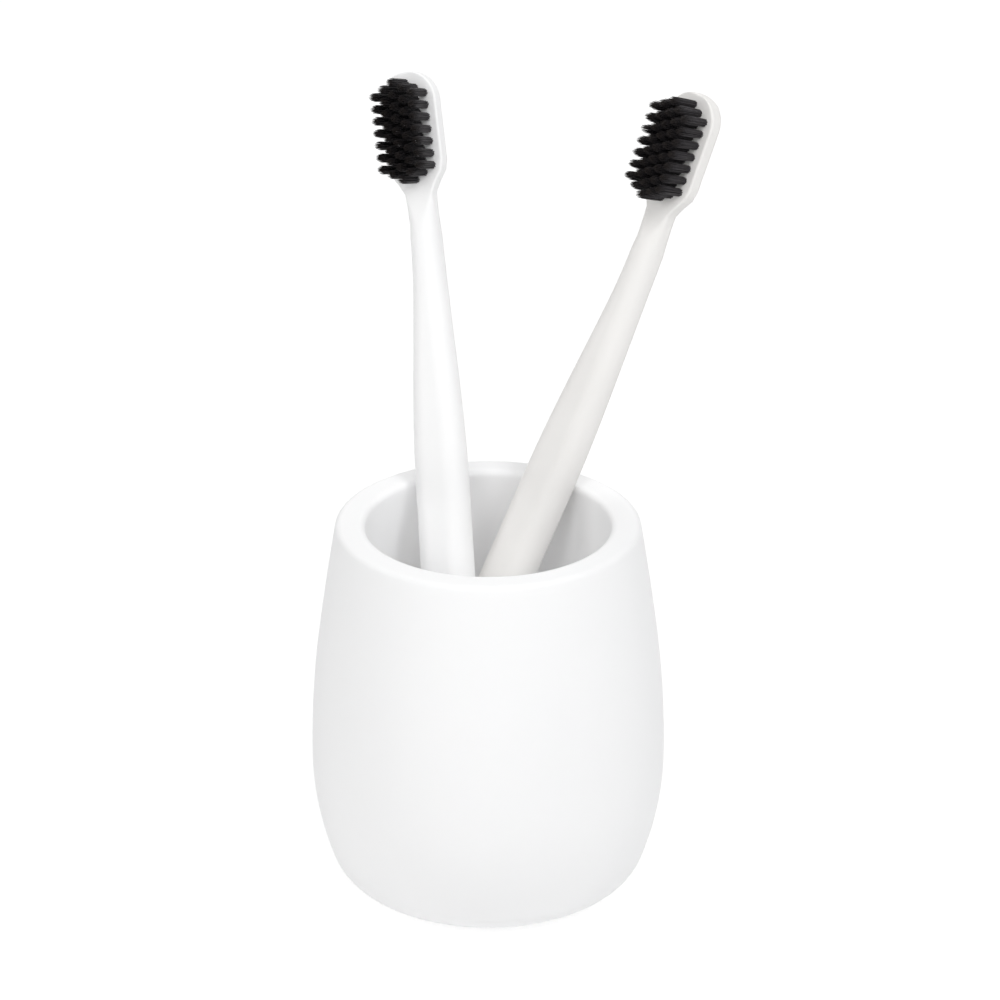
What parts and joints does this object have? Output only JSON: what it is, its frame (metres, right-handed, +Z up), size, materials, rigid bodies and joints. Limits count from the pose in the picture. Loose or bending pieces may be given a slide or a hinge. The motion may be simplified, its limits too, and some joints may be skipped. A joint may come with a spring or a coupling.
{
  "type": "toothbrush holder",
  "caption": "Matte white barrel-shaped tumbler with a thick rounded rim, holding a white and a warm grey toothbrush with charcoal bristles that lift out.",
  "frame": {"origin": "centre of the foot pad's underside, on the surface that the tumbler stands on", "axes": "+Z up along the tumbler's axis, -Y towards the viewer that the bristles face, +X to that viewer's right"},
  "size_m": [0.0968, 0.1083, 0.1854],
  "materials": {
    "tumbler": "matte",
    "foot_pad": "matte",
    "white_handle": "satin",
    "white_bristles": "satin",
    "white_anchors": "satin",
    "grey_handle": "satin",
    "grey_bristles": "satin",
    "grey_anchors": "satin"
  },
  "bodies": {
    "tumbler": {"tumbler": "tumbler", "foot_pad": "foot_pad"},
    "white_brush": {"white_handle": "white_handle", "white_bristles": "white_bristles", "white_anchors": "white_anchors"},
    "grey_brush": {"grey_handle": "grey_handle", "grey_bristles": "grey_bristles", "grey_anchors": "grey_anchors"}
  },
  "joints": [
    {"name": "white_lift", "type": "slide", "parent": "tumbler", "child": "white_brush", "axis": [-0.0612, 0.483, 0.8735], "range_m": [0, 0.11]},
    {"name": "grey_lift", "type": "slide", "parent": "tumbler", "child": "grey_brush", "axis": [0.3966, 0.2474, 0.884], "range_m": [0, 0.11]}
  ]
}
